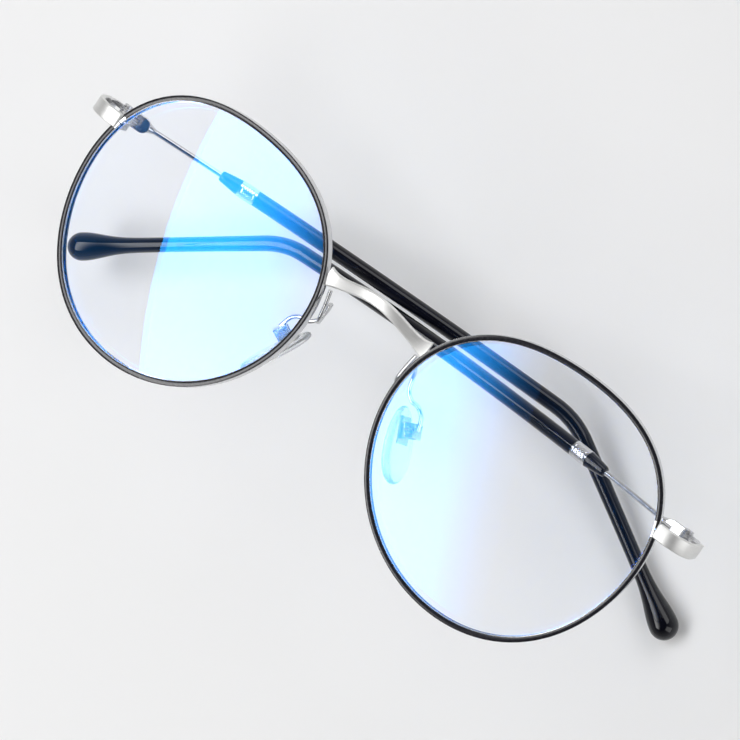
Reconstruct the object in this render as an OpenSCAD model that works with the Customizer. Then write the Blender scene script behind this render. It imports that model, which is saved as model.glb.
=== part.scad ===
// Round wire-rimmed eyeglasses with folding temples, lying face up on their folded temples.
// Millimetres. +X is the wearer's left, +Y the wearer's up, +Z the way the lenses face.
// The origin is on the surface the glasses lie on, under the middle of the front.

/* [Lenses and rims] */
// Width of each lens
lens_w = 52; // [48:1:56]
// Height of each lens
lens_h = 49.2; // [46:0.2:53]
// Gap between the two lenses
bridge_w = 20.4; // [18:0.2:22]
// How far the outline swells above the brow and narrows below it
brow_swell = 0.66; // [0:0.02:0.9]
// How far the outline leans towards the nose
nose_lean = 0.27; // [0:0.01:0.5]
// How far the outline is squared off at top, bottom and sides
squareness = 0.26; // [0:0.01:0.5]
// Angle that each lens turns back towards its temple
wrap = 5.7; // [3:0.1:7]
// Radius of the lens's domed face
base_curve = 130; // [110:5:180]
// Thickness of each lens
lens_t = 2; // [1.8:0.1:2.2]
// Depth of the rim wire, front to back
rim_d = 1.8; // [1.6:0.1:2.2]
// How far the rim wire stands outside the lens edge
rim_out = 0.55; // [0.5:0.05:0.7]
// How far the rim wire laps over the lens edge
rim_in = 0.5; // [0.4:0.05:0.6]

/* [Bridge and end pieces] */
// Height of the bridge where its ends meet the rims
bridge_y = 11.6; // [10:0.2:13]
// How far the middle of the bridge rises above its ends
bridge_rise = 2.2; // [1:0.1:3.5]
// How far the middle of the bridge stands forward
bridge_bow = 2.6; // [1.5:0.1:3.5]
// Height of the bridge strip
bridge_h = 2.1; // [1.8:0.1:2.6]
// Thickness of the bridge strip
bridge_t = 1.1; // [0.9:0.1:1.4]
// Height of the end pieces and hinges above the lens centres
hinge_y = 10.2; // [9:0.1:11]
// Height of the end-piece strap
strap_h = 2.8; // [2.6:0.1:3.2]
// Thickness of the end-piece strap
strap_t = 1; // [0.9:0.1:1.2]
// Half of the overall width
half_w = 68; // [67.6:0.1:68.4]
// Outer radius of the end piece's bend
strap_r = 5; // [4.6:0.1:5.2]

/* [Hinges and temples] */
// Distance of each hinge axis from the middle
hinge_x = 64.2; // [64:0.1:64.4]
// Depth of the hinge axes behind the nose edge of the rims
hinge_depth = 12.9; // [12.7:0.1:13.1]
// Radius of the hinge knuckles
knuckle_r = 1.1; // [1:0.05:1.2]
// Radius of the hinge screw's shank
pin_r = 0.5; // [0.4:0.05:0.55]
// Angle of the folded right temple behind the front
fold_right = 14; // [14:0.5:16]
// Angle of the folded left temple behind the front
fold_left = 10.9; // [9:0.1:11]
// How far the left temple dips as it crosses
dip_left = 2.9; // [0:0.1:4]
// Degrees that the right temple leans towards the brow when folded
rise_right = 0.3; // [0:0.1:2]
// Length of each temple, hinge axis to tip
temple_l = 140.3; // [132:0.1:145]
// Distance along the temple where it starts to bend down behind the ear
ear_s = 94; // [88:1:98]
// Radius of the ear bend
ear_r = 15; // [12:1:20]
// Angle of the ear bend
ear_angle = 31; // [25:1:40]
// How far the middle of each temple bows outwards
temple_bow = 2.9; // [1:0.1:3.2]
// How far the middle of the left temple bows upwards
crown_left = 1.1; // [0:0.1:1.5]
// How far the right temple arches towards the brow
crown_right = 0.25; // [0:0.05:1.5]
// Radius of the bare temple wire
wire_r = 0.48; // [0.4:0.02:0.5]
// Distance along the temple where the collar starts
collar_s = 20.4; // [18:0.2:24]
// Length of the tapered collar
collar_l = 4.1; // [3:0.1:5]
// Length of the silver trim ring
ring_l = 3.5; // [3:0.1:4]
// Radius of the sleeve
sleeve_r = 1.5; // [1.4:0.05:1.6]
// Radius of the bulb at the temple tip
bulb_r = 2.7; // [2:0.1:2.8]

/* [Nose pads] */
// Height of each nose pad
pad_h = 14; // [12:0.5:15]
// Width of each nose pad
pad_w = 7.6; // [6:0.2:8]
// Thickness of each nose pad
pad_t = 2.4; // [2.2:0.1:2.8]
// Angle that the pads spread towards their lower ends
pad_frontal = 30; // [20:1:35]
// Angle that the pads spread towards the face
pad_splay = 21; // [15:1:30]

/* [Hidden] */
$fn = 48;

LEFT = 1;
RIGHT = -1;
gap = 0.05;               // clearance between parts that fit into each other
lift = 44.25;             // height of the rims' nose edges above the resting surface

// ---- placing ----
module on_side(side) {
  translate([0, 0, lift])
    if (side == RIGHT) mirror([1, 0, 0]) children();
    else children();
}

// The middle of the left lens, turned back by the wrap angle
module eye() {
  translate([bridge_w / 2, 0, 0]) rotate([0, wrap, 0]) translate([lens_w / 2, 0, 0]) children();
}

module at_hinge() {
  translate([hinge_x, hinge_y, -hinge_depth]) children();
}

// A folded temple's own frame: x runs along it from the hinge, z is the side that faces the wearer
module at_temple(side) {
  at_hinge() mirror([1, 0, 0])
    rotate([0, side == LEFT ? fold_left : fold_right, 0])
      rotate([0, 0, side == LEFT ? -dip_left : rise_right]) children();
}

// A nose pad's own frame: x points away from the nose, y up the pad, z across it
pad_at = [14.1, -6.4, -8.7];
module at_pad() {
  translate(pad_at) rotate([0, -pad_splay, 0]) rotate([0, 0, pad_frontal]) children();
}

// ---- the lens outline ----
outline_n = 120;
function lens_radius(a) =
  1 / sqrt(pow(cos(a) / (lens_w / 2), 2) + pow(sin(a) / (lens_h / 2), 2))
  + brow_swell * sin(3 * a) - nose_lean * sin(2 * a)
  - nose_lean * cos(3 * a) - squareness * cos(4 * a);
raw = [for (i = [0 : outline_n - 1]) let (a = i * 360 / outline_n) lens_radius(a) * [cos(a), sin(a)]];
raw_x = [for (p = raw) p.x];
raw_y = [for (p = raw) p.y];
raw_mid = [max(raw_x) + min(raw_x), max(raw_y) + min(raw_y)] / 2;
raw_k = [lens_w / (max(raw_x) - min(raw_x)), lens_h / (max(raw_y) - min(raw_y))];
centred = [for (p = raw) [(p.x - raw_mid.x) * raw_k.x, (p.y - raw_mid.y) * raw_k.y]];
function outline(grow) = [for (p = centred) p * (1 + grow / norm(p))];

module lens_prism(grow, depth) {
  linear_extrude(depth, center = true) polygon(outline(grow));
}

// ---- sweeps ----
// A closed solid of round rings: each station is [centre, tangent, radius]
function ring_points(c, t, r, ref, sides) =
  let (n = cross(t, ref) / norm(cross(t, ref)), b = cross(n, t) / norm(t))
  [for (k = [0 : sides - 1]) let (a = k * 360 / sides) c + r * (cos(a) * n + sin(a) * b)];

module sweep(stations, ref, sides) {
  count = len(stations);
  points = [for (s = stations) each ring_points(s[0], s[1], s[2], ref, sides)];
  walls = [for (i = [0 : count - 2], k = [0 : sides - 1])
    let (a = i * sides + k, b = i * sides + (k + 1) % sides)
    each [[a, b, b + sides], [a, b + sides, a + sides]]];
  first = [for (k = [sides - 1 : -1 : 0]) k];
  last = [for (k = [0 : sides - 1]) (count - 1) * sides + k];
  polyhedron(points, concat(walls, [first, last]), convexity = 6);
}

function spline(p0, p1, p2, p3, t) =
  0.5 * (2 * p1 + (p2 - p0) * t + (2 * p0 - 5 * p1 + 4 * p2 - p3) * t * t
    + (3 * p1 - p0 - 3 * p2 + p3) * t * t * t);
function smooth(pts, steps) = let (m = len(pts) - 1) concat(
  [for (i = [0 : m - 1], j = [0 : steps - 1])
    spline(pts[max(i - 1, 0)], pts[i], pts[i + 1], pts[min(i + 2, m)], j / steps)],
  [pts[m]]);
function tangents(pts) = let (m = len(pts) - 1)
  [for (i = [0 : m]) pts[min(i + 1, m)] - pts[max(i - 1, 0)]];

// ---- the temple's centre line ----
temple_offset = 1.5;      // distance of the wire from the hinge axis
bow_span = 104;           // length over which the temple bows
ear_arc = ear_r * ear_angle * PI / 180;
function swell(s) = 4 * (s / bow_span) * (1 - s / bow_span);
function bent(s) =
  s < ear_s ? [s, 0]
  : s < ear_s + ear_arc
    ? let (a = (s - ear_s) / ear_r * 180 / PI) [ear_s + ear_r * sin(a), -ear_r * (1 - cos(a))]
    : let (d = s - ear_s - ear_arc)
      [ear_s + ear_r * sin(ear_angle) + d * cos(ear_angle),
       -ear_r * (1 - cos(ear_angle)) - d * sin(ear_angle)];
function temple_point(s, crown) =
  [bent(s).x, bent(s).y + crown * swell(s), -temple_offset - temple_bow * swell(s)];
function temple_tangent(s, crown) = temple_point(s + 0.2, crown) - temple_point(s - 0.2, crown);
function crown_of(side) = side == LEFT ? crown_left : crown_right;
function stations(side, list) =
  [for (q = list) [temple_point(q[0], crown_of(side)), temple_tangent(q[0], crown_of(side)), q[1]]];

function temple_gap(side, s0, s1) =
  norm(temple_point(s1, crown_of(side)) - temple_point(s0, crown_of(side)));

// A straight piece on the temple's centre line between two distances
module along_temple(side, s0, s1) {
  a = temple_point(s0, crown_of(side));
  d = temple_point(s1, crown_of(side)) - a;
  translate(a) rotate([0, 90 - asin(d.z / norm(d)), atan2(d.y, d.x)]) children();
}

// ---- front ----
module rim(side) color("#17171b") on_side(side) eye() difference() {
  lens_prism(rim_out, rim_d);
  lens_prism(-rim_in, rim_d + 2);
  lens_prism(0.1, 0.9);
  // seat for the end piece, and the split that the closing screw pulls shut
  translate([lens_w / 2 - 4, hinge_y - strap_h / 2, 0]) cube([8, strap_h, 4]);
  translate([lens_w / 2 - 4, hinge_y - 0.15, -4]) cube([8, 0.3, 5]);
}

module lens(side) color("#dfe8ff", 0.3) on_side(side) eye() {
  dome = sqrt(pow(base_curve, 2) - pow(lens_w / 2 - 0.7, 2));
  union() {
    intersection() {
      lens_prism(-rim_in - 0.1, 12);
      difference() {
        translate([0, 0, -dome]) sphere(base_curve + lens_t / 2, $fn = 200);
        translate([0, 0, -dome]) sphere(base_curve - lens_t / 2, $fn = 200);
      }
    }
    difference() {
      lens_prism(0, 0.6);
      lens_prism(-1.6, 2);
    }
  }
}

bridge_half = bridge_w / 2 + 1.6;
bridge_steps = 24;
bridge_xs = [for (i = [-bridge_steps : bridge_steps]) i * bridge_half / bridge_steps];
function bridge_mid(x) = bridge_y + bridge_rise * (1 + cos(180 * x / bridge_half)) / 2;
function bridge_out(x) = -0.3 + bridge_bow * (1 + cos(180 * x / bridge_half)) / 2;
function bridge_flare(x) = bridge_h / 2 + 0.8 * pow(abs(x) / bridge_half, 6);
module bridge() color("#d9dadc") translate([0, 0, lift]) difference() {
  intersection() {
    translate([0, 0, -6]) linear_extrude(12) polygon(concat(
      [for (x = bridge_xs) [x, bridge_mid(x) + bridge_flare(x)]],
      [for (x = bridge_xs) [-x, bridge_mid(x) - bridge_flare(x)]]));
    translate([0, 30, 0]) rotate([90, 0, 0]) linear_extrude(40) polygon(concat(
      [for (x = bridge_xs) [x, bridge_out(x) + bridge_t / 2]],
      [for (x = bridge_xs) [-x, bridge_out(x) - bridge_t / 2]]));
  }
  for (side = [LEFT, RIGHT])
    mirror([side == LEFT ? 0 : 1, 0, 0]) eye() lens_prism(rim_out + 0.01, 12);
}

// The strap starts on the rim, runs out, and bends back beside the hinge
strap_front = rim_d / 2 + 0.35 - (lens_w - 0.3) * sin(wrap);
strap_start = bridge_w / 2 + (lens_w - rim_in) * cos(wrap);
strap_back = hinge_depth - 0.5;
module end_piece(side) color("#e2e2e2") on_side(side) difference() {
  translate([0, hinge_y + strap_h / 2, 0]) rotate([90, 0, 0]) linear_extrude(strap_h) {
    difference() {
      translate([strap_start, strap_front - strap_r])
        square([half_w - strap_r - strap_start + 0.01, strap_r]);
      translate([strap_start - 1, strap_front - strap_r - 1])
        square([half_w - strap_r - strap_start + 1, strap_r - strap_t + 1]);
    }
    intersection() {
      translate([half_w - strap_r, strap_front - strap_r]) difference() {
        circle(strap_r);
        circle(strap_r - strap_t);
      }
      translate([half_w - strap_r, strap_front - strap_r]) square(strap_r + 1);
    }
    translate([half_w - strap_t, -strap_back])
      square([strap_t, strap_back + strap_front - strap_r + 0.01]);
  }
  eye() translate([lens_w / 2 - 4, hinge_y - 5, -5]) cube([4.6, 10, 5]);
}

// Two small blocks behind the rim's split ends, pulled together by a screw
block = [1.9, 1.25, 2.3];
screw_r = 0.45;
module at_block() {
  eye() translate([lens_w / 2 - 1.35, hinge_y, -rim_d / 2 - block.z]) children();
}
module closing_block(side, way) color("#c9c9c9") on_side(side) at_block() difference() {
  translate([0, way > 0 ? 0.15 : -0.15 - block.y, 0]) cube(block);
  translate([block.x / 2, 0, block.z / 2]) rotate([90, 0, 0])
    cylinder(r = screw_r + gap, h = 6, center = true);
  if (way > 0) translate([block.x / 2, 0.15 + block.y - 0.56, block.z / 2]) rotate([-90, 0, 0])
    cylinder(r = 0.75 + gap, h = 1);
}
module closing_screw(side) color("#b5b5b8") on_side(side) at_block()
  translate([block.x / 2, 0, block.z / 2]) rotate([90, 0, 0]) difference() {
    union() {
      translate([0, 0, -1]) cylinder(r = screw_r, h = 2.3);
      translate([0, 0, -1.38]) cylinder(r = 0.75, h = 0.5);
    }
    translate([-1, -0.1, -1.6]) cube([2, 0.2, 0.4]);
  }

// ---- hinges: two knuckles on the front, one between them on the temple ----
knuckle_split = 0.5;      // half of the height kept for the temple's knuckle
leaf_t = 0.8;
module upright(r, y0, y1) {
  translate([0, y1, 0]) rotate([90, 0, 0]) cylinder(r = r, h = y1 - y0);
}
module front_hinge(side) color("#c4c4c6") on_side(side) at_hinge() {
  leaf_x = half_w - strap_t - hinge_x;
  difference() {
    union() {
      translate([leaf_x - leaf_t, -strap_h / 2, 0.5]) cube([leaf_t, strap_h, 3.2]);
      for (way = [1, -1]) scale([1, way, 1]) {
        upright(knuckle_r, knuckle_split, strap_h / 2);
        translate([0, knuckle_split, 0.15]) cube([leaf_x - 0.4, strap_h / 2 - knuckle_split, 0.7]);
      }
    }
    upright(pin_r + gap, -3, 3);
  }
}
module hinge_screw(side) color("#b5b5b8") on_side(side) at_hinge() difference() {
  union() {
    upright(pin_r, -strap_h / 2 - 0.1, strap_h / 2 + 0.05);
    upright(0.85, strap_h / 2 + 0.02, strap_h / 2 + 0.42);
  }
  translate([-1, strap_h / 2 + 0.25, -0.1]) cube([2, 1, 0.2]);
}

// ---- nose pads ----
// The arm's route from the bridge root, round a hairpin and out to the box
arm_r = 0.4;
arm_route = [
  [9.7, 9.6, -1.35], [9.2, 7, -1.9], [8.9, 4.6, -2.3], [8.9, 3.5, -3.1], [9.1, 4.5, -4.1],
  [9.4, 6.3, -5], [9.6, 6.6, -6.2], [9.9, 5, -7.1], [10.5, 2.8, -7.4], [11.9, 1.6, -7.4],
  [13.6, 1.3, -7.5], [15, 0.1, -7.8], [15.8, -2.2, -8.1]
];
box_at = [2.5, 2.6, 0];   // middle of the box in the pad's frame
box_size = [2.2, 2.6, 2.6];
slot_w = 1.2;
module at_box() {
  at_pad() translate(box_at) children();
}
module pad_arm(side) color("#d2d2d4") on_side(side) {
  line = smooth(arm_route, 4);
  way = tangents(line);
  difference() {
    sweep([for (i = [0 : len(line) - 1]) [line[i], way[i], arm_r]], [1, 0, 1], 10);
    at_box() cube(box_size + [0.02, 0.02, 0.02], center = true);
  }
}
module pad_box(side) color("#cfcfd2") on_side(side) at_box() difference() {
  cube(box_size, center = true);
  translate([-box_size.x / 2 - 0.5, -3, -slot_w / 2]) cube([box_size.x + 0.3, 6, slot_w]);
  cylinder(r = 0.35 + gap, h = 6, center = true);
}
module pad_screw(side) color("#b5b5b8") on_side(side) at_box() difference() {
  union() {
    cylinder(r = 0.35, h = box_size.z + 0.2, center = true);
    translate([0, 0, box_size.z / 2 + 0.02]) cylinder(r = 0.65, h = 0.35);
  }
  translate([-1, -0.1, box_size.z / 2 + 0.22]) cube([2, 0.2, 1]);
}
plate = [0.5, 5, 3];
module core_solid(extra) {
  translate([0.25 - extra, box_at.y - plate.y / 2 - extra, -plate.z / 2 - extra])
    cube(plate + 2 * extra * [1, 1, 1]);
  translate([0.5, box_at.y - 0.9 - extra, -slot_w / 2 + 0.1 - extra])
    cube([box_at.x - 0.5, 1.8 + 2 * extra, slot_w - 0.2 + 2 * extra]);
}
module pad_core(side) color("#bfc3c8") on_side(side) at_pad() difference() {
  union() {
    core_solid(0);
    translate(box_at) cylinder(r = 0.75, h = slot_w - 0.2, center = true);
  }
  translate(box_at) cylinder(r = 0.35 + gap, h = 6, center = true);
}
pad_n = 40;
function pad_edge(a) =
  [pad_h / 2 * cos(a), pad_w / 2 * sin(a) * (1 - 0.16 * cos(a))];
module nose_pad(side) color("#f2f6ff", 0.5) on_side(side) at_pad() difference() {
  rotate([0, 90, 0]) rotate([0, 0, 90]) linear_extrude(pad_t, center = true)
    polygon([for (i = [0 : pad_n - 1]) pad_edge(i * 360 / pad_n)]);
  core_solid(0.03);
}

// ---- temples ----
paddle_s = 1;             // where the flat paddle starts
paddle_w = 3;
paddle_l = 2.7;
wire_end = temple_l - 12;
module paddle_shape() {
  translate([paddle_s, -paddle_w / 2]) square([paddle_l, paddle_w]);
  translate([paddle_s + paddle_l, 0]) circle(paddle_w / 2);
}
wire_start = paddle_s + paddle_l + 0.6;
wire_join = collar_s + 0.5;  // where the straight bare wire hands over to the curved one
wire_cuts = [for (s = [collar_s + 3.6 : 4 : wire_end - 1]) s];
module temple_wire(side) color("#d8d8da") on_side(side) at_temple(side) {
  translate([0, 0, -temple_offset - 0.5]) linear_extrude(1) paddle_shape();
  along_temple(side, wire_start, wire_join)
    cylinder(r = wire_r, h = temple_gap(side, wire_start, wire_join));
  sweep(stations(side, concat(
    [[wire_join - 1.4, 0.36], [wire_join - 0.2, 0.36], [wire_join + 0.1, wire_r]],
    [for (s = wire_cuts) [s, wire_r]], [[wire_end, wire_r]])), [0, 0, 1], 16);
}
module temple_hinge(side) color("#c4c4c6") on_side(side) {
  difference() {
    union() {
      at_hinge() upright(knuckle_r, gap - knuckle_split, knuckle_split - gap);
      at_temple(side) translate([0.3, -0.38, -temple_offset + 0.52]) cube([2.6, 0.76, 0.7]);
    }
    at_hinge() upright(pin_r + gap, -3, 3);
  }
}
function ring_s() = collar_s + collar_l;
module collar(side) color("#101018") on_side(side) at_temple(side)
  along_temple(side, collar_s, ring_s()) difference() {
    cylinder(r1 = 0.95, r2 = sleeve_r, h = collar_l - 0.02);
    translate([0, 0, -1]) cylinder(r = wire_r + gap, h = collar_l + 2);
  }
module trim_ring(side) color("#d8d9dc") on_side(side) at_temple(side)
  along_temple(side, ring_s(), ring_s() + ring_l) difference() {
    cylinder(r = sleeve_r + 0.05, h = ring_l - 0.02);
    translate([0, 0, -1]) cylinder(r = wire_r + gap, h = ring_l + 2);
  }

neck_r = 1.4;
bore_r = wire_r + 0.1;
function ease(x) = let (t = min(max(x, 0), 1)) t * t * (3 - 2 * t);
function tip_radius(t) = t < bulb_r
  ? sqrt(pow(bulb_r, 2) - pow(bulb_r - t, 2))
  : neck_r + (bulb_r - neck_r) * exp(-pow((t - bulb_r) / 5.5, 2))
    + (sleeve_r - neck_r) * ease((t - 18) / 25);
sleeve_s = collar_s + collar_l + ring_l;
sleeve_cuts = concat(
  [for (i = [0 : 29]) sleeve_s + (temple_l - 18 - sleeve_s) * i / 29],
  [for (t = [16 : -1.6 : 4.8]) temple_l - t],
  [for (a = [90 : -15 : 15]) temple_l - bulb_r * (1 - cos(a))],
  [temple_l - 0.02]);
module sleeve(side) color("#0d0f1c") on_side(side) at_temple(side)
  sweep(stations(side, concat(
    [[wire_end + 0.5, bore_r]],
    [for (i = [len(wire_cuts) - 1 : -1 : 0]) if (wire_cuts[i] > sleeve_s + 0.5) [wire_cuts[i], bore_r]],
    [[sleeve_s, bore_r]],
    [for (s = sleeve_cuts) [s, tip_radius(temple_l - s)]])), [0, 0, 1], 16);

rim(LEFT);  // rim_left
rim(RIGHT);  // rim_right
lens(LEFT);  // lens_left
lens(RIGHT);  // lens_right
bridge();
end_piece(LEFT);  // end_piece_left
end_piece(RIGHT);  // end_piece_right
closing_block(LEFT, 1);  // closing_block_upper_left
closing_block(RIGHT, 1);  // closing_block_upper_right
closing_block(LEFT, -1);  // closing_block_lower_left
closing_block(RIGHT, -1);  // closing_block_lower_right
closing_screw(LEFT);  // closing_screw_left
closing_screw(RIGHT);  // closing_screw_right
front_hinge(LEFT);  // front_hinge_left
front_hinge(RIGHT);  // front_hinge_right
hinge_screw(LEFT);  // hinge_screw_left
hinge_screw(RIGHT);  // hinge_screw_right
pad_arm(LEFT);  // pad_arm_left
pad_arm(RIGHT);  // pad_arm_right
pad_box(LEFT);  // pad_box_left
pad_box(RIGHT);  // pad_box_right
pad_screw(LEFT);  // pad_screw_left
pad_screw(RIGHT);  // pad_screw_right
pad_core(LEFT);  // pad_core_left
pad_core(RIGHT);  // pad_core_right
nose_pad(LEFT);  // nose_pad_left
nose_pad(RIGHT);  // nose_pad_right
temple_wire(LEFT);  // temple_wire_left
temple_wire(RIGHT);  // temple_wire_right
temple_hinge(LEFT);  // temple_hinge_left
temple_hinge(RIGHT);  // temple_hinge_right
collar(LEFT);  // collar_left
collar(RIGHT);  // collar_right
trim_ring(LEFT);  // trim_ring_left
trim_ring(RIGHT);  // trim_ring_right
sleeve(LEFT);  // sleeve_left
sleeve(RIGHT);  // sleeve_right
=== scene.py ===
"""Round wire-rimmed eyeglasses: fine rims, lenses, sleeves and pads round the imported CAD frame."""

import math

import bmesh
import bpy
from mathutils import Matrix, Vector


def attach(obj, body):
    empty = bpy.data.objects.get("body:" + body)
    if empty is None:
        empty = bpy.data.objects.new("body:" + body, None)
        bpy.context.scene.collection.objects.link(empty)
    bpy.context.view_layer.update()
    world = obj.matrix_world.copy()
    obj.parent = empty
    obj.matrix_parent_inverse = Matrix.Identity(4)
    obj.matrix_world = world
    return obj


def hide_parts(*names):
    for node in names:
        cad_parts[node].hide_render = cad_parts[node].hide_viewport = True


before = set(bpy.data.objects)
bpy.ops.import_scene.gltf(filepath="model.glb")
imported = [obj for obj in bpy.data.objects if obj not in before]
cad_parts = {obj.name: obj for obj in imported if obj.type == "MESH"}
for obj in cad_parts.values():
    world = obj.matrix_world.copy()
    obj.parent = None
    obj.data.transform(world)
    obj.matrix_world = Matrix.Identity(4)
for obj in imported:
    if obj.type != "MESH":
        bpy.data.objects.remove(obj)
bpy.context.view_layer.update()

# ---- driving sizes, in millimetres, the same as the CAD design's ----
MM = 0.001
LIFT = 44.25
SIDES = {"left": 1, "right": -1}
LENS_W, LENS_H, BRIDGE_W = 52.0, 49.2, 20.4
BROW_SWELL, NOSE_LEAN, SQUARENESS = 0.66, 0.27, 0.26
WRAP = math.radians(5.7)
BASE_CURVE, LENS_T = 130.0, 2.0
RIM_D, RIM_OUT, RIM_IN = 1.8, 0.55, 0.5
BRIDGE_Y, BRIDGE_RISE, BRIDGE_BOW, BRIDGE_H, BRIDGE_T = 11.6, 2.2, 2.6, 2.1, 1.1
HINGE_X, HINGE_Y, HINGE_DEPTH = 64.2, 10.2, 12.9
STRAP_H, STRAP_T, STRAP_R, HALF_W = 2.8, 1.0, 5.0, 68.0
FOLD = {1: math.radians(10.9), -1: math.radians(14.0)}
DIP = {1: math.radians(-2.9), -1: math.radians(0.3)}
CROWN = {1: 1.1, -1: 0.25}
TEMPLE_L, EAR_S, EAR_R, EAR_ANGLE = 140.3, 94.0, 15.0, math.radians(31)
TEMPLE_OFFSET, TEMPLE_BOW, BOW_SPAN = 1.5, 2.9, 104.0
WIRE_R, SLEEVE_R, NECK_R, BULB_R = 0.48, 1.5, 1.4, 2.7
COLLAR_S, COLLAR_L, RING_L = 20.4, 4.1, 3.5
PADDLE_S, PADDLE_L, PADDLE_W = 1.0, 2.7, 3.0
PAD_H, PAD_W, PAD_T = 14.0, 7.6, 2.4
PAD_AT = Vector((14.1, -6.4, -8.7))
PAD_FRONTAL, PAD_SPLAY = math.radians(30), math.radians(21)
BOX_AT = Vector((2.5, 2.6, 0.0))
ARM_R = 0.4
ARM_ROUTE = [
    (9.7, 9.6, -1.35), (9.2, 7, -1.9), (8.9, 4.6, -2.3), (8.9, 3.5, -3.1), (9.1, 4.5, -4.1),
    (9.4, 6.3, -5), (9.6, 6.6, -6.2), (9.9, 5, -7.1), (10.5, 2.8, -7.4), (11.9, 1.6, -7.4),
    (13.6, 1.3, -7.5), (15, 0.1, -7.8), (15.8, -2.2, -8.1)]


# ---- mesh helpers ----
def to_row(side, p):
    """A point of the front's left half, in millimetres, as a row-frame point in metres."""
    return Vector((side * p[0], p[1], p[2] + LIFT)) * MM


def skin(name, rings, loop=False):
    """A closed surface through rings of points, with a UV map in millimetres along and around it."""
    count, around = len(rings), len(rings[0])
    verts = [p for ring in rings for p in ring]
    along = [0.0]
    for i in range(1, count + 1):
        along.append(along[-1] + (rings[i % count][0] - rings[i - 1][0]).length / MM)
    widths = [0.0]
    middle = rings[count // 2]
    for k in range(around):
        widths.append(widths[-1] + (middle[(k + 1) % around] - middle[k]).length / MM)
    faces, uvs = [], []
    for i in range(count if loop else count - 1):
        nxt = (i + 1) % count
        for k in range(around):
            kk = (k + 1) % around
            faces.append((i * around + k, i * around + kk, nxt * around + kk, nxt * around + k))
            uvs += [(along[i], widths[k]), (along[i], widths[k + 1]),
                    (along[i + 1], widths[k + 1]), (along[i + 1], widths[k])]
    if not loop:
        faces.append(tuple(reversed(range(around))))
        faces.append(tuple(range((count - 1) * around, count * around)))
        uvs += [(0.0, 0.0)] * (2 * around)
    mesh = bpy.data.meshes.new(name)
    mesh.from_pydata(verts, [], faces)
    layer = mesh.uv_layers.new(name="flow")
    for at, uv in zip(layer.data, uvs):
        at.uv = uv
    return finish_mesh(name, mesh)


SHARP_EDGE = math.radians(35)


def finish_mesh(name, mesh):
    """Links a mesh as a smooth-shaded object with its sharp edges kept."""
    work = bmesh.new()
    work.from_mesh(mesh)
    bmesh.ops.recalc_face_normals(work, faces=work.faces)
    work.to_mesh(mesh)
    work.free()
    mesh.shade_smooth()
    mesh.set_sharp_from_angle(angle=SHARP_EDGE)
    piece = bpy.data.objects.new(name, mesh)
    bpy.context.scene.collection.objects.link(piece)
    return piece


def plate(name, outline, low, high, place):
    """A flat plate: the outline, in millimetres, from one level to another, put in place."""
    n = len(outline)
    verts = [place(x, y, z) for z in (low, high) for x, y in outline]
    faces = [tuple(range(n)), tuple(range(2 * n - 1, n - 1, -1))]
    faces += [(k, (k + 1) % n, n + (k + 1) % n, n + k) for k in range(n)]
    mesh = bpy.data.meshes.new(name)
    mesh.from_pydata(verts, [], faces)
    mesh.uv_layers.new(name="flow")
    piece = finish_mesh(name, mesh)
    soften(piece, PLATE_EDGE)
    return piece


def soften(piece, width):
    """Rounds a piece's hard edges by a width in millimetres."""
    bevel = piece.modifiers.new("edge_round", "BEVEL")
    bevel.width = width * MM
    bevel.segments = 3
    bevel.limit_method = "ANGLE"
    bevel.angle_limit = SHARP_EDGE
    bevel.harden_normals = True


def rounded_box(half_a, half_b, r, steps=4):
    """Points round a rectangle of the given half sizes, with round corners of radius r."""
    points = []
    for k, (sa, sb) in enumerate(((1, 1), (-1, 1), (-1, -1), (1, -1))):
        for j in range(steps + 1):
            turn = math.pi / 2 * (k + j / steps)
            points.append((sa * (half_a - r) + r * math.cos(turn),
                           sb * (half_b - r) + r * math.sin(turn)))
    return points


def spread(a, b, n):
    """n even steps from a to b, both kept."""
    return [a + (b - a) * i / (n - 1) for i in range(n)]


def ease(x):
    """Rises smoothly from 0 to 1 as x does."""
    t = min(max(x, 0.0), 1.0)
    return t * t * (3 - 2 * t)


def spline(points, steps):
    """A smooth curve through the points."""
    pts = [Vector(p) for p in points]
    last = len(pts) - 1
    line = []
    for i in range(last):
        p0, p1, p2, p3 = pts[max(i - 1, 0)], pts[i], pts[i + 1], pts[min(i + 2, last)]
        for j in range(steps):
            t = j / steps
            line.append(0.5 * (2 * p1 + (p2 - p0) * t + (2 * p0 - 5 * p1 + 4 * p2 - p3) * t * t
                               + (3 * p1 - p0 - 3 * p2 + p3) * t ** 3))
    return line + [pts[last]]


def tube_rings(line, radius, around, ref):
    """Round rings along a line of points; radius is a function of (index, angle)."""
    rings = []
    for i, c in enumerate(line):
        way = (line[min(i + 1, len(line) - 1)] - line[max(i - 1, 0)]).normalized()
        n = way.cross(ref).normalized()
        b = n.cross(way)
        ring = []
        for k in range(around):
            turn = 2 * math.pi * k / around
            ring.append(c + (math.cos(turn) * n + math.sin(turn) * b) * radius(i, turn))
        rings.append(ring)
    return rings


# ---- the lens outline and the lens's own frame ----
def lens_radius(a):
    """The outline's distance from the middle at an angle, before it is scaled to size."""
    ellipse = 1 / math.hypot(math.cos(a) / (LENS_W / 2), math.sin(a) / (LENS_H / 2))
    return (ellipse + BROW_SWELL * math.sin(3 * a) - NOSE_LEAN * math.sin(2 * a)
            - NOSE_LEAN * math.cos(3 * a) - SQUARENESS * math.cos(4 * a))


def outline_frame():
    """The raw outline's middle, and what scales it to the lens's width and height."""
    xs, ys = [], []
    for i in range(720):
        a = math.pi * i / 360
        xs.append(lens_radius(a) * math.cos(a))
        ys.append(lens_radius(a) * math.sin(a))
    mid = ((max(xs) + min(xs)) / 2, (max(ys) + min(ys)) / 2)
    scale = (LENS_W / (max(xs) - min(xs)), LENS_H / (max(ys) - min(ys)))
    return mid, scale


OUTLINE_MID, OUTLINE_SCALE = outline_frame()


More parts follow.
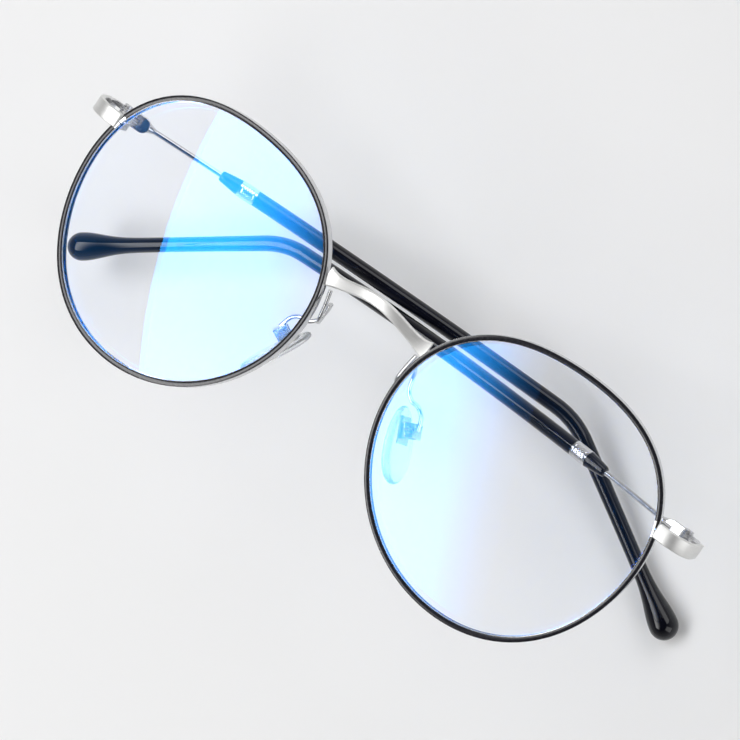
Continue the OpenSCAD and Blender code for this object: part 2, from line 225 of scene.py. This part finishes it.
def outline_point(a, grow=0.0):
    """A point of the outline at an angle, moved outwards by grow."""
    x = (lens_radius(a) * math.cos(a) - OUTLINE_MID[0]) * OUTLINE_SCALE[0]
    y = (lens_radius(a) * math.sin(a) - OUTLINE_MID[1]) * OUTLINE_SCALE[1]
    k = 1 + grow / math.hypot(x, y)
    return x * k, y * k


def eye(side, u, v, w):
    """A point of a lens's own frame: u away from the nose, v up, w forward."""
    u += LENS_W / 2
    x = BRIDGE_W / 2 + u * math.cos(WRAP) + w * math.sin(WRAP)
    z = -u * math.sin(WRAP) + w * math.cos(WRAP)
    return to_row(side, (x, v, z))


def angle_at_height(v):
    """The outline's angle where its temple side is at height v."""
    low, high = 0.0, math.pi / 3
    for _ in range(40):
        mid = (low + high) / 2
        if outline_point(mid)[1] < v:
            low = mid
        else:
            high = mid
    return low


# ---- the temple's frame and centre line ----
def swell(s):
    """0 at the hinge, 1 halfway along the bow, 0 again at its end."""
    return 4 * (s / BOW_SPAN) * (1 - s / BOW_SPAN)


def temple_line(side, s):
    """The temple's centre line at a distance s from the hinge."""
    arc = EAR_R * EAR_ANGLE
    turn = min(max((s - EAR_S) / EAR_R, 0.0), EAR_ANGLE)
    past = max(s - EAR_S - arc, 0.0)
    x = min(s, EAR_S) + EAR_R * math.sin(turn) + past * math.cos(EAR_ANGLE)
    y = -EAR_R * (1 - math.cos(turn)) - past * math.sin(EAR_ANGLE)
    return Vector((x, y + CROWN[side] * swell(s), -TEMPLE_OFFSET - TEMPLE_BOW * swell(s)))


def temple_place(side, p):
    """A point of a folded temple's own frame, in the row frame."""
    turned = Matrix.Rotation(FOLD[side], 3, "Y") @ Matrix.Rotation(DIP[side], 3, "Z") @ Vector(p)
    return to_row(side, (HINGE_X - turned.x, HINGE_Y + turned.y, -HINGE_DEPTH + turned.z))


def temple_tube(name, side, cuts, radius, around):
    """A round tube along the temple's centre line; radius is a function of (distance, angle)."""
    line = [temple_line(side, s) for s in cuts]
    rings = tube_rings(line, lambda i, turn: radius(cuts[i], turn), around, Vector((0, 0, 1)))
    return skin(name, [[temple_place(side, p) for p in ring] for ring in rings])


# ---- the nose pad's frame ----
def pad_place(side, p):
    """A point of a nose pad's own frame, in the row frame."""
    turned = Matrix.Rotation(-PAD_SPLAY, 3, "Y") @ Matrix.Rotation(PAD_FRONTAL, 3, "Z") @ Vector(p)
    return to_row(side, turned + PAD_AT)


# ---- materials ----
def new_material(name):
    """A node material, its tree and its Principled shader."""
    mat = bpy.data.materials.new(name)
    mat.use_nodes = True
    tree = mat.node_tree
    return mat, tree, tree.nodes["Principled BSDF"]


def add(tree, kind, **values):
    """A node of a kind, with its sockets or properties set by name."""
    node = tree.nodes.new(kind)
    for key, value in values.items():
        if key in node.inputs:
            node.inputs[key].default_value = value
        else:
            setattr(node, key, value)
    return node


def mapped(tree, source, scale):
    """Texture coordinates, stretched: source is Object (metres) or UV (millimetres along and around)."""
    coords = add(tree, "ShaderNodeTexCoord")
    place = add(tree, "ShaderNodeMapping")
    place.inputs["Scale"].default_value = scale
    tree.links.new(coords.outputs[source], place.inputs["Vector"])
    return place.outputs["Vector"]


def noise(tree, vector, detail=4.0, rough=0.6):
    """Fine noise over a vector that is already scaled."""
    node = add(tree, "ShaderNodeTexNoise", Scale=1.0, Detail=detail, Roughness=rough)
    tree.links.new(vector, node.inputs["Vector"])
    return node.outputs["Fac"]


def ranged(tree, value, low, high, name, shader):
    """Sends a 0 to 1 value to a shader socket as low to high."""
    node = add(tree, "ShaderNodeMapRange")
    node.inputs["From Min"].default_value = 0.3
    node.inputs["From Max"].default_value = 0.7
    node.inputs["To Min"].default_value = low
    node.inputs["To Max"].default_value = high
    tree.links.new(value, node.inputs["Value"])
    tree.links.new(node.outputs["Result"], shader.inputs[name])


def tinted(tree, value, dark, light, shader):
    """Colours a shader from dark to light along a noise."""
    ramp = add(tree, "ShaderNodeValToRGB")
    ramp.color_ramp.elements[0].position = 0.3
    ramp.color_ramp.elements[0].color = (*dark, 1)
    ramp.color_ramp.elements[1].position = 0.7
    ramp.color_ramp.elements[1].color = (*light, 1)
    tree.links.new(value, ramp.inputs["Fac"])
    tree.links.new(ramp.outputs["Color"], shader.inputs["Base Color"])


def bumped(tree, value, depth, shader, strength):
    """Raises a noise off the surface by a depth in millimetres."""
    bump = add(tree, "ShaderNodeBump", Strength=strength, Distance=depth * MM)
    tree.links.new(value, bump.inputs["Height"])
    tree.links.new(bump.outputs["Normal"], shader.inputs["Normal"])


def metal(name, dark, light, smooth, rough, source, scale, depth):
    """A metal whose colour, roughness and fine relief follow one stretched noise."""
    mat, tree, shader = new_material(name)
    shader.inputs["Metallic"].default_value = 1.0
    grain = noise(tree, mapped(tree, source, scale), 6.0, 0.7)
    tinted(tree, grain, dark, light, shader)
    ranged(tree, grain, smooth, rough, "Roughness", shader)
    bumped(tree, grain, depth, shader, 0.5)
    return mat


def polished_silver():
    return metal("polished_silver", (0.56, 0.56, 0.57), (0.68, 0.68, 0.69), 0.08, 0.18,
                 "Object", (900, 900, 900), 0.004)


def satin_silver():
    return metal("satin_silver", (0.7, 0.7, 0.69), (0.8, 0.8, 0.79), 0.4, 0.52,
                 "UV", (0.5, 14, 1), 0.01)


def turned_steel():
    return metal("turned_steel", (0.5, 0.5, 0.52), (0.7, 0.7, 0.71), 0.18, 0.36,
                 "Object", (900, 7000, 900), 0.008)


def milled_black():
    """Black paint over fine slanting mill marks."""
    mat, tree, shader = new_material("milled_black")
    wave = add(tree, "ShaderNodeTexWave", Scale=0.62, Distortion=0.4, Detail=1.0)
    wave.wave_profile = "SAW"
    wave.bands_direction = "DIAGONAL"
    tree.links.new(mapped(tree, "UV", (1, 1.2, 1)), wave.inputs["Vector"])
    grain = noise(tree, mapped(tree, "Object", (2500, 2500, 2500)))
    tinted(tree, grain, (0.006, 0.006, 0.009), (0.02, 0.02, 0.026), shader)
    ranged(tree, grain, 0.12, 0.2, "Roughness", shader)
    shader.inputs["Coat Weight"].default_value = 0.25
    shader.inputs["Coat Roughness"].default_value = 0.1
    bumped(tree, wave.outputs["Color"], 0.03, shader, 0.4)
    return mat


def glossy_sleeve():
    """Polished near-black acetate with a touch of navy and faint handling marks."""
    mat, tree, shader = new_material("glossy_sleeve")
    cloud = noise(tree, mapped(tree, "Object", (120, 120, 120)))
    tinted(tree, cloud, (0.002, 0.002, 0.004), (0.004, 0.005, 0.012), shader)
    marks = noise(tree, mapped(tree, "Object", (700, 2600, 2600)), 5.0, 0.7)
    ranged(tree, marks, 0.05, 0.1, "Roughness", shader)
    shader.inputs["IOR"].default_value = 1.45
    shader.inputs["Specular IOR Level"].default_value = 0.4
    shader.inputs["Coat Weight"].default_value = 0.12
    shader.inputs["Coat Roughness"].default_value = 0.04
    bumped(tree, marks, 0.003, shader, 0.4)
    return mat


def clear_silicone():
    """Clear soft plastic with a little milkiness."""
    mat, tree, shader = new_material("clear_silicone")
    shader.inputs["Transmission Weight"].default_value = 0.82
    shader.inputs["IOR"].default_value = 1.4
    cloud = noise(tree, mapped(tree, "Object", (600, 600, 600)))
    tinted(tree, cloud, (0.93, 0.95, 0.98), (0.99, 1.0, 1.0), shader)
    ranged(tree, cloud, 0.04, 0.12, "Roughness", shader)
    return mat


def coated_lens():
    """Clear lens: what is behind shows through, and the coating adds a blue reflection."""
    mat, tree, shader = new_material("coated_lens")
    tree.nodes.remove(shader)
    out = tree.nodes["Material Output"]
    clear = add(tree, "ShaderNodeBsdfTransparent")
    clear.inputs["Color"].default_value = (0.985, 0.99, 0.99, 1)
    coat = add(tree, "ShaderNodeBsdfGlossy")
    coat.inputs["Roughness"].default_value = 0.015
    film = noise(tree, mapped(tree, "Object", (30, 30, 30)), 2.0)
    ramp = add(tree, "ShaderNodeValToRGB")
    ramp.color_ramp.elements[0].position = 0.3
    ramp.color_ramp.elements[0].color = (0.003, 0.045, 0.14, 1)
    ramp.color_ramp.elements[1].position = 0.7
    ramp.color_ramp.elements[1].color = (0.002, 0.052, 0.142, 1)
    tree.links.new(film, ramp.inputs["Fac"])
    tree.links.new(ramp.outputs["Color"], coat.inputs["Color"])
    both = add(tree, "ShaderNodeAddShader")
    tree.links.new(clear.outputs["BSDF"], both.inputs[0])
    tree.links.new(coat.outputs["BSDF"], both.inputs[1])
    tree.links.new(both.outputs["Shader"], out.inputs["Surface"])
    return mat


SILVER = polished_silver()
SATIN = satin_silver()
STEEL = turned_steel()
BLACK = milled_black()
SLEEVE = glossy_sleeve()
SILICONE = clear_silicone()
COATED = coated_lens()


def dress(piece, mat, body, node=None):
    """Gives a piece its material and its moving body, and hides the CAD node it stands for."""
    piece.data.materials.clear()
    piece.data.materials.append(mat)
    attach(piece, body)
    if node:
        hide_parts(node)


# ---- front pieces ----
RIM_STEPS = 400
RIM_SPLIT = 0.12          # half of the gap where the rim wire is split
PLATE_EDGE = 0.14
BAND_HALF = 0.46          # half of the black band's width
BAND_MID = 0.05           # the band's middle, outside the lens edge


def rim_profile():
    """The rim wire's section: (out from the lens edge, forward), with the groove for the lens."""
    half = RIM_D / 2
    return [(-RIM_IN, 0.42), (-RIM_IN, half - 0.12), (-RIM_IN + 0.04, half - 0.04),
            (-RIM_IN + 0.12, half), (RIM_OUT - 0.16, half), (RIM_OUT - 0.05, half - 0.05),
            (RIM_OUT, half - 0.16), (RIM_OUT, -half + 0.16), (RIM_OUT - 0.05, -half + 0.05),
            (RIM_OUT - 0.16, -half), (-RIM_IN + 0.12, -half), (-RIM_IN + 0.04, -half + 0.04),
            (-RIM_IN, -half + 0.12), (-RIM_IN, -0.42), (0.1, -0.36), (0.1, 0.36)]


def band_profile():
    """The black band's section: a low crest that stands on the rim's front face."""
    top = RIM_D / 2 + 0.12
    foot = RIM_D / 2 - 0.02
    crest = [(BAND_MID + BAND_HALF * t, top - 0.1 * t * t) for t in spread(-1, 1, 11)]
    return [(BAND_MID - BAND_HALF, foot - 0.12)] + crest + [(BAND_MID + BAND_HALF, foot - 0.12)]


def ring_round_lens(name, side, profile, half_gap):
    """Sweeps a section round the lens, with a gap behind the end piece."""
    start = angle_at_height(HINGE_Y + half_gap)
    end = angle_at_height(HINGE_Y - half_gap) + 2 * math.pi
    rings = []
    for a in spread(start, end, RIM_STEPS):
        rings.append([eye(side, *outline_point(a, out), w) for out, w in profile])
    return skin(name, rings)


def make_rim(tag, side):
    wire = ring_round_lens(f"rim_wire_{tag}", side, rim_profile(), RIM_SPLIT)
    dress(wire, SILVER, "front", f"rim_{tag}")
    band = ring_round_lens(f"rim_band_{tag}", side, band_profile(), STRAP_H / 2 - 0.05)
    dress(band, BLACK, "front")


LENS_POINTS = 160


def make_lens(tag, side):
    """Two domed faces joined by a bevelled lip that sits in the rim's groove."""
    dome = math.sqrt(BASE_CURVE ** 2 - (LENS_W / 2 - 0.7) ** 2)
    inset = RIM_IN + 0.1

    def face(k, offset):
        ring = []
        for i in range(LENS_POINTS):
            u, v = outline_point(2 * math.pi * i / LENS_POINTS, -inset)
            u, v = u * k, v * k
            w = math.sqrt((BASE_CURVE + offset) ** 2 - u * u - v * v) - dome
            ring.append(eye(side, u, v, w))
        return ring

    def lip(w, grow):
        return [eye(side, *outline_point(2 * math.pi * i / LENS_POINTS, grow), w)
                for i in range(LENS_POINTS)]

    fractions = [0.004, 0.1, 0.2, 0.3, 0.4, 0.5, 0.6, 0.7, 0.8, 0.87, 0.93, 0.97, 1.0]
    half = LENS_T / 2
    rings = [face(k, -half) for k in fractions]
    rings += [lip(-0.3, -inset + 0.02), lip(-0.12, 0.0), lip(0.12, 0.0), lip(0.3, -inset + 0.02)]
    rings += [face(k, half) for k in reversed(fractions)]
    dress(skin(f"clear_lens_{tag}", rings), COATED, "front", f"lens_{tag}")


def make_bridge():
    """A flat strip that arches up and forward, and flares into the rims."""
    half = BRIDGE_W / 2 + 1.0
    steps = 65
    line, sizes = [], []
    for x in spread(-half, half, steps):
        lobe = (1 + math.cos(math.pi * x / (half + 0.6))) / 2
        flare = abs(x / half) ** 6
        line.append(Vector((x, BRIDGE_Y + BRIDGE_RISE * lobe, -0.3 + BRIDGE_BOW * lobe)))
        sizes.append((BRIDGE_H / 2 + 0.8 * flare, BRIDGE_T / 2 - 0.1 * flare))
    rings = []
    for i, c in enumerate(line):
        way = (line[min(i + 1, steps - 1)] - line[max(i - 1, 0)]).normalized()
        up = (Vector((0, 1, 0)) - way * way.y).normalized()
        out = way.cross(up)
        tall, thick = sizes[i]
        rings.append([to_row(1, c + up * a + out * b) for a, b in rounded_box(tall, thick, 0.36)])
    dress(skin("bridge_strip", rings), SATIN, "front", "bridge")


def make_end_piece(tag, side):
    """A strap that runs out from the rim and bends back to the hinge."""
    mid_r = STRAP_R - STRAP_T / 2
    front = RIM_D / 2 + 0.35 - (LENS_W - 0.3) * math.sin(WRAP)
    start = BRIDGE_W / 2 + (LENS_W - RIM_IN) * math.cos(WRAP) - 0.5
    turn_x = HALF_W - STRAP_R
    line = [Vector((x, 0, front - STRAP_T / 2)) for x in spread(start, turn_x, 12)]
    for a in spread(0, math.pi / 2, 14)[1:]:
        line.append(Vector((turn_x + mid_r * math.sin(a), 0, front - STRAP_R + mid_r * math.cos(a))))
    for z in spread(front - STRAP_R, -HINGE_DEPTH + 0.5, 8)[1:]:
        line.append(Vector((HALF_W - STRAP_T / 2, 0, z)))
    last = len(line) - 1
    rings = []
    for i, c in enumerate(line):
        way = (line[min(i + 1, last)] - line[max(i - 1, 0)]).normalized()
        out = Vector((0, 1, 0)).cross(way)
        near_end = min(i, last - i)
        trim = 0.12 if near_end == 0 else 0.03 if near_end == 1 else 0.0
        ring = rounded_box(STRAP_H / 2 - trim, STRAP_T / 2 - trim, 0.2)
        rings.append([to_row(side, c + Vector((0, HINGE_Y + a, 0)) + out * b) for a, b in ring])
    piece = skin(f"end_strap_{tag}", rings)
    dress(piece, SATIN, "front", f"end_piece_{tag}")


def make_pad_arm(tag, side):
    """A thin wire with a hairpin, from the bridge's root to the pad's box."""
    line = spline(ARM_ROUTE, 10)
    rings = tube_rings(line, lambda i, turn: ARM_R, 20, Vector((1, 0, 1)))
    piece = skin(f"pad_arm_wire_{tag}", [[to_row(side, p) for p in ring] for ring in rings])
    dress(piece, SILVER, "front", f"pad_arm_{tag}")


def make_nose_pad(tag, side):
    """A soft-edged teardrop, flatter on the side that the metal core goes in."""
    around, layers = 64, 17
    rings = []
    for x in spread(-1, 1, layers):
        deep = math.sin(x * math.pi / 2)
        k = max((1 - abs(deep) ** 2.6) ** (1 / 2.2), 0.02)
        ring = []
        for i in range(around):
            a = 2 * math.pi * i / around
            up = PAD_H / 2 * math.cos(a) * k
            wide = PAD_W / 2 * math.sin(a) * (1 - 0.16 * math.cos(a)) * k
            hollow = 0.25 * (1 - k) * (1 if deep > 0 else 0.4)
            ring.append(pad_place(side, (deep * (PAD_T / 2 - hollow), up, wide)))
        rings.append(ring)
    piece = skin(f"soft_pad_{tag}", rings)
    dress(piece, SILICONE, f"pad_{tag}", f"nose_pad_{tag}")


# ---- temple pieces ----
def make_temple(tag, side):
    """The wire and paddle, the tapered collar, the trim ring and the sleeve."""
    body = f"temple_{tag}"
    start = PADDLE_S + PADDLE_L + PADDLE_W / 2 - 0.4
    wire = temple_tube(
        f"wire_{tag}", side, spread(start, TEMPLE_L - 12, 90),
        lambda s, turn: WIRE_R + 0.5 * ease(1 - (s - start) / 1.6), 24)
    dress(wire, SILVER, body, f"temple_wire_{tag}")

    turns = [math.radians(a) for a in range(-90, 91, 9)]
    shape = [(PADDLE_S, -PADDLE_W / 2)]
    shape += [(PADDLE_S + PADDLE_L + PADDLE_W / 2 * math.cos(a), PADDLE_W / 2 * math.sin(a))
              for a in turns]
    shape.append((PADDLE_S, PADDLE_W / 2))
    paddle = plate(f"paddle_{tag}", shape, -TEMPLE_OFFSET - 0.5, -TEMPLE_OFFSET + 0.5,
                   lambda x, y, z: temple_place(side, (x, y, z)))
    dress(paddle, SILVER, body)

    cone_end = COLLAR_S + COLLAR_L
    cone = temple_tube(
        f"cone_{tag}", side,
        [COLLAR_S, COLLAR_S, COLLAR_S + 0.04, COLLAR_S + 0.14]
        + spread(COLLAR_S + 0.3, cone_end - 0.02, 12),
        lambda s, turn: max(cone_radius(s), WIRE_R + 0.05), 48)
    dress(cone, SLEEVE, body, f"collar_{tag}")

    ring_end = cone_end + RING_L
    band = temple_tube(
        f"ring_band_{tag}", side, spread(cone_end, ring_end - 0.02, 60),
        lambda s, turn: ring_radius((s - cone_end) / RING_L, turn), 120)
    dress(band, SILVER, body, f"trim_ring_{tag}")

    cuts = spread(ring_end, TEMPLE_L - 18, 70) + spread(TEMPLE_L - 17, TEMPLE_L - 3.4, 30)
    cuts += [TEMPLE_L - BULB_R * (1 - math.cos(a)) for a in spread(math.pi / 2, 0.03, 16)]
    tube = temple_tube(f"sleeve_tube_{tag}", side, cuts,
                       lambda s, turn: sleeve_radius(TEMPLE_L - s), 48)
    dress(tube, SLEEVE, body, f"sleeve_{tag}")


def cone_radius(s):
    """The collar's radius at a distance from the hinge, with a rounded nose."""
    t = (s - COLLAR_S) / COLLAR_L
    nose = min(1.0, math.sqrt(max(0.0, (s - COLLAR_S) / 0.25)))
    return (0.95 + (SLEEVE_R - 0.95) * t ** 0.85) * (0.8 + 0.2 * nose)


def ring_radius(t, turn):
    """Plain lips, a groove inside each, and a raised lattice in the middle."""
    groove = 0.06 * sum(math.exp(-((t - g) / 0.018) ** 2) for g in (0.16, 0.84))
    inside = ease((t - 0.2) / 0.04) * ease((0.8 - t) / 0.04)
    a = math.cos(10 * turn + 22 * t)
    b = math.cos(10 * turn - 22 * t)
    return SLEEVE_R + 0.04 - groove + 0.045 * inside * (abs(a * b) - 0.5)


def sleeve_radius(t):
    """The sleeve's radius at a distance from its tip."""
    if t < BULB_R:
        return math.sqrt(max(BULB_R ** 2 - (BULB_R - t) ** 2, 0.0004))
    bulb = (BULB_R - NECK_R) * math.exp(-((t - BULB_R) / 5.5) ** 2)
    return NECK_R + bulb + (SLEEVE_R - NECK_R) * ease((t - 18) / 25)


# ---- CAD nodes that stay ----
def dress_cad_nodes():
    """Gives the small CAD parts their metal and soft edges."""
    steel_nodes = ["closing_block_upper", "closing_block_lower", "closing_screw", "front_hinge",
                   "hinge_screw", "pad_screw", "temple_hinge"]
    silver_nodes = ["pad_box", "pad_core"]
    for tag in SIDES:
        for stem in steel_nodes + silver_nodes:
            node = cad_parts[f"{stem}_{tag}"]
            node.data.materials.clear()
            node.data.materials.append(STEEL if stem in steel_nodes else SILVER)
            soften(node, 0.08)


# ---- stage, light and camera ----
def emit(name, at, aim, size, power, roll=0.0):
    """An area light at a place, aimed at a point and rolled about its own axis."""
    data = bpy.data.lights.new(name, "AREA")
    data.shape = "RECTANGLE"
    data.size, data.size_y = size
    data.energy = power
    lamp = bpy.data.objects.new(name, data)
    bpy.context.scene.collection.objects.link(lamp)
    at, aim = Vector(at), Vector(aim)
    lamp.location = at
    lamp.rotation_mode = "QUATERNION"
    turn = (at - aim).to_track_quat("Z", "Y")
    lamp.rotation_quaternion = turn @ Matrix.Rotation(roll, 3, "Z").to_quaternion()
    lamp.visible_camera = False
    return lamp


def fade_across(lamp, dim, bright, plateau):
    """Makes an area light rise from one side, then stay bright."""
    data = lamp.data
    data.use_nodes = True
    tree = data.node_tree
    shader = tree.nodes["Emission"]
    spot = add(tree, "ShaderNodeNewGeometry")
    split = add(tree, "ShaderNodeSeparateXYZ")
    grade = add(tree, "ShaderNodeMapRange")
    grade.interpolation_type = "SMOOTHSTEP"
    grade.inputs["From Max"].default_value = plateau
    grade.inputs["To Min"].default_value = dim
    grade.inputs["To Max"].default_value = bright
    tree.links.new(spot.outputs["Parametric"], split.inputs["Vector"])
    tree.links.new(split.outputs["X"], grade.inputs["Value"])
    tree.links.new(grade.outputs["Result"], shader.inputs["Strength"])


FLOOR_HALF = 3.0          # metres


def make_stage():
    """A plain pale floor."""
    mesh = bpy.data.meshes.new("floor")
    half = FLOOR_HALF
    corners = [(-half, -half, 0), (half, -half, 0), (half, half, 0), (-half, half, 0)]
    mesh.from_pydata(corners, [], [(0, 1, 2, 3)])
    floor = bpy.data.objects.new("floor", mesh)
    bpy.context.scene.collection.objects.link(floor)
    mat, tree, shader = new_material("pale_floor")
    cloud = noise(tree, mapped(tree, "Object", (3, 3, 3)))
    tinted(tree, cloud, (0.84, 0.84, 0.845), (0.87, 0.87, 0.87), shader)
    shader.inputs["Roughness"].default_value = 0.6
    mesh.materials.append(mat)


KEY_AT = (-0.31, -0.22, 0.944)
KEY_ROLL = math.radians(18.4)
GLASSES_MIDDLE = (0, 0, 0.03)


def make_light():
    """A world that darkens overhead, a soft key light above and two fills."""
    world = bpy.data.worlds.new("studio")
    bpy.context.scene.world = world
    world.use_nodes = True
    tree = world.node_tree
    split = add(tree, "ShaderNodeSeparateXYZ")
    coords = add(tree, "ShaderNodeTexCoord")
    tree.links.new(coords.outputs["Generated"], split.inputs["Vector"])
    sky = add(tree, "ShaderNodeValToRGB")
    for stop, (at, grey) in zip(sky.color_ramp.elements, ((0.1, 0.55), (0.85, 0.03))):
        stop.position = at
        stop.color = (grey, grey, grey, 1)
    tree.links.new(split.outputs["Z"], sky.inputs["Fac"])
    tree.links.new(sky.outputs["Color"], tree.nodes["Background"].inputs["Color"])
    tree.nodes["Background"].inputs["Strength"].default_value = 1.0
    key = emit("key", KEY_AT, (KEY_AT[0], KEY_AT[1], 0), (0.66, 1.2), 9, KEY_ROLL)
    fade_across(key, 0.03, 1.5, 0.66)
    emit("right_fill", (1.3, 0.1, 0.7), GLASSES_MIDDLE, (0.8, 1.2), 5)
    emit("top_fill", (0.1, 1.2, 0.9), GLASSES_MIDDLE, (1.4, 0.8), 7)


CAMERA_AT = Vector((179.8, 128.3, 614.3 + LIFT)) * MM
CAMERA_TARGET = Vector((4.68, 2.93, LIFT)) * MM
CAMERA_UP = Vector((-0.5857, 0.8105, 0.0015))
FOCAL = 183.3


def make_camera():
    """A long lens above the front, turned about its own axis."""
    data = bpy.data.cameras.new("camera")
    data.lens = FOCAL
    data.sensor_width = 36
    data.clip_start = 0.01
    camera = bpy.data.objects.new("camera", data)
    bpy.context.scene.collection.objects.link(camera)
    back = (CAMERA_AT - CAMERA_TARGET).normalized()
    right = CAMERA_UP.cross(back).normalized()
    up = back.cross(right)
    camera.matrix_world = Matrix.Translation(CAMERA_AT) @ Matrix((right, up, back)).transposed().to_4x4()
    bpy.context.scene.camera = camera


for tag, side in SIDES.items():
    make_rim(tag, side)
    make_lens(tag, side)
    make_end_piece(tag, side)
    make_pad_arm(tag, side)
    make_nose_pad(tag, side)
    make_temple(tag, side)
make_bridge()
dress_cad_nodes()
make_stage()
make_light()
make_camera()
bpy.context.scene.view_settings.view_transform = "Standard"

bpy.context.view_layer.update()
